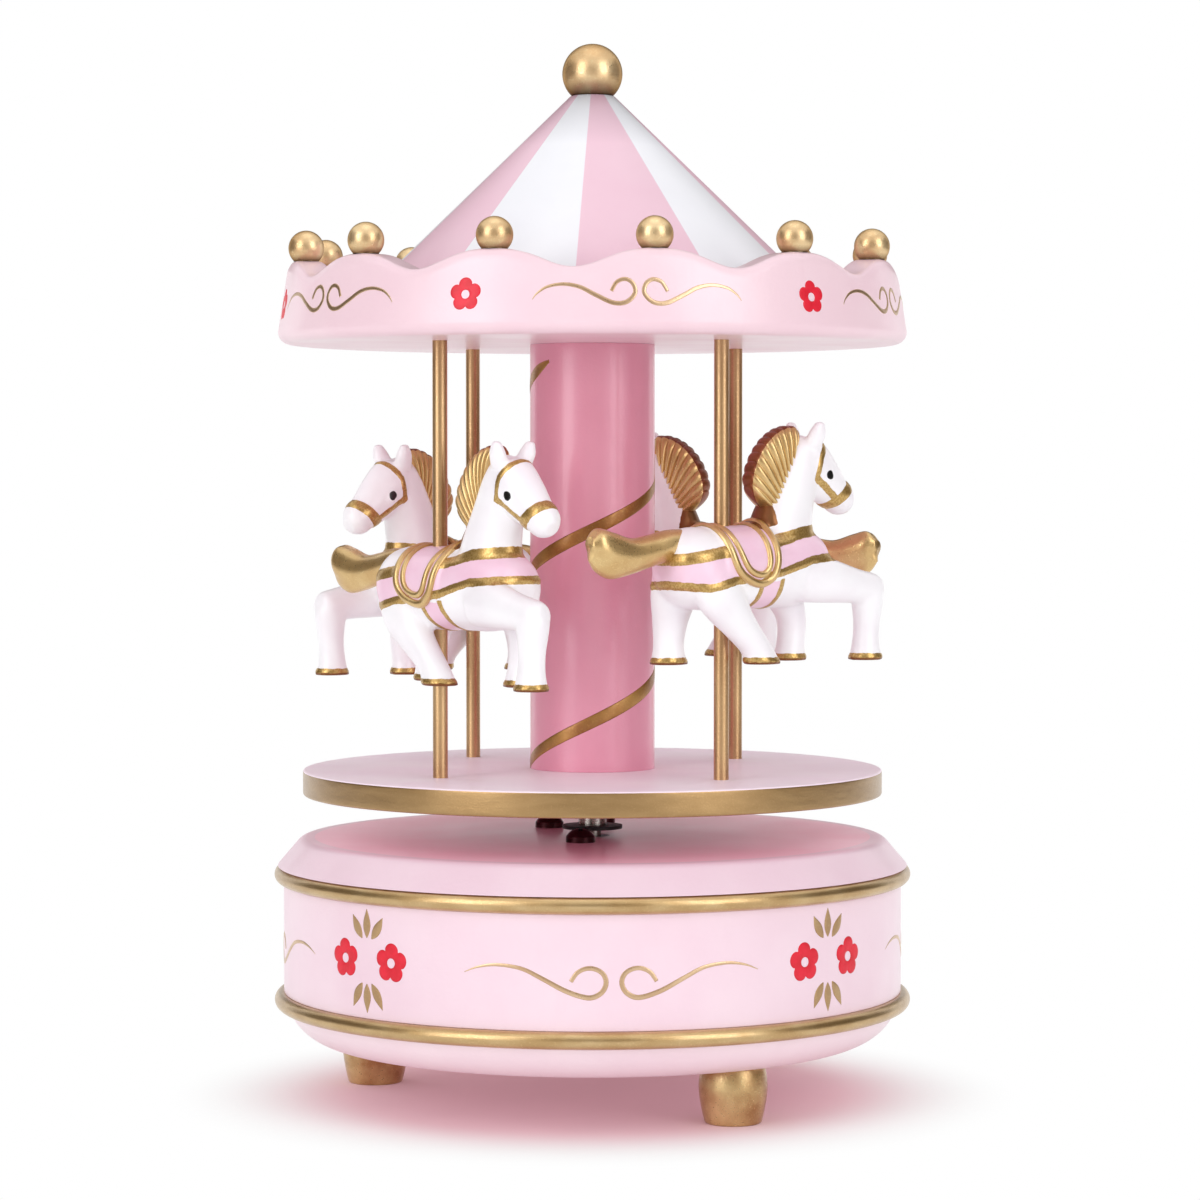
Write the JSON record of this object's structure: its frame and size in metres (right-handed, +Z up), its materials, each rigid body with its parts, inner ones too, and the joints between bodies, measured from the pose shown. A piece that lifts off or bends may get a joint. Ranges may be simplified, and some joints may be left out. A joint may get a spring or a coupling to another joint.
{
  "type": "carousel music box",
  "caption": "Wooden carousel music box: horses on brass poles ride a turntable under a scalloped canopy and striped cone roof, driven by a wind-up comb movement in the drum base.",
  "frame": {"origin": "on the turning axis at table level, under the middle of the base", "axes": "+Z up along the turning axis, -Y to the front as pictured, +X to the viewer's right"},
  "size_m": [0.1092, 0.1092, 0.18],
  "materials": {
    "pink_wood": "satin pale pink paint with gilt ornament",
    "column_wood": "satin rose paint with a gilt spiral",
    "roof_wood": "satin paint in pink and white stripes",
    "gilt_wood": "satin gold paint",
    "pole_brass": "brushed, lacquered",
    "horse_plastic": "white moulding, hand-painted in gold and pink",
    "screw_bronze": "dark bronzed",
    "steel": "bright",
    "black_washer": "black",
    "zinc": "die-cast zinc",
    "movement_brass": "machined",
    "nylon": "natural"
  },
  "bodies": {
    "base": {"bottom_board": "pink_wood", "drum_wall": "pink_wood", "drum_top": "pink_wood", "lower_bead": "gilt_wood", "upper_bead": "gilt_wood", "foot_1": "gilt_wood", "foot_2": "gilt_wood", "foot_3": "gilt_wood", "bottom_screw_1": "steel", "bottom_screw_2": "steel", "bottom_screw_3": "steel", "movement_screw_1": "screw_bronze", "movement_screw_2": "screw_bronze", "movement_screw_3": "screw_bronze", "bedplate": "zinc", "spring_housing": "steel", "mainspring": "steel", "comb": "steel", "comb_screw_1": "steel", "comb_screw_2": "steel", "cylinder_bracket": "steel", "governor_frame": "steel"},
    "carousel": {"winding_arbor": "steel", "drive_wheel": "movement_brass", "hub_washer": "black_washer", "hub_collar": "steel", "turntable": "pink_wood", "column": "column_wood", "canopy_screw": "steel", "canopy_crown": "pink_wood", "roof_cone": "roof_wood", "finial_ball": "gilt_wood", "ball_01": "gilt_wood", "ball_02": "gilt_wood", "ball_03": "gilt_wood", "ball_04": "gilt_wood", "ball_05": "gilt_wood", "ball_06": "gilt_wood", "ball_07": "gilt_wood", "ball_08": "gilt_wood", "ball_09": "gilt_wood", "ball_10": "gilt_wood", "ball_11": "gilt_wood", "ball_12": "gilt_wood", "pole_1": "pole_brass", "pole_2": "pole_brass", "pole_3": "pole_brass", "pole_4": "pole_brass", "horse_1": "horse_plastic", "horse_2": "horse_plastic", "horse_3": "horse_plastic", "horse_4": "horse_plastic"},
    "cylinder": {"pin_cylinder": "movement_brass", "cylinder_pinion": "movement_brass", "cylinder_gear": "nylon", "cylinder_axle": "steel"},
    "governor": {"governor_wheel": "movement_brass", "governor_arbor": "steel"},
    "vane": {"vane_shaft": "steel", "vane": "nylon"}
  },
  "joints": [
    {"name": "carousel_turn", "type": "hinge", "parent": "base", "child": "carousel", "pos_m": [0, 0, 0.05], "axis": [0, 0, 1], "continuous": true},
    {"name": "cylinder_turn", "type": "hinge", "parent": "base", "child": "cylinder", "pos_m": [0, 0.023, 0.02105], "axis": [0, 1, 0], "continuous": true},
    {"name": "governor_turn", "type": "hinge", "parent": "base", "child": "governor", "pos_m": [0.00908, 0.034, 0.02105], "axis": [0, 1, 0], "continuous": true},
    {"name": "vane_turn", "type": "hinge", "parent": "base", "child": "vane", "pos_m": [0.01526, 0.0357, 0.025], "axis": [0, 0, 1], "continuous": true}
  ],
  "couplings": [
    {"joint": "cylinder_turn", "follows": "carousel_turn", "ratio": -2.5},
    {"joint": "governor_turn", "follows": "carousel_turn", "ratio": 7.5},
    {"joint": "vane_turn", "follows": "carousel_turn", "ratio": 180}
  ]
}
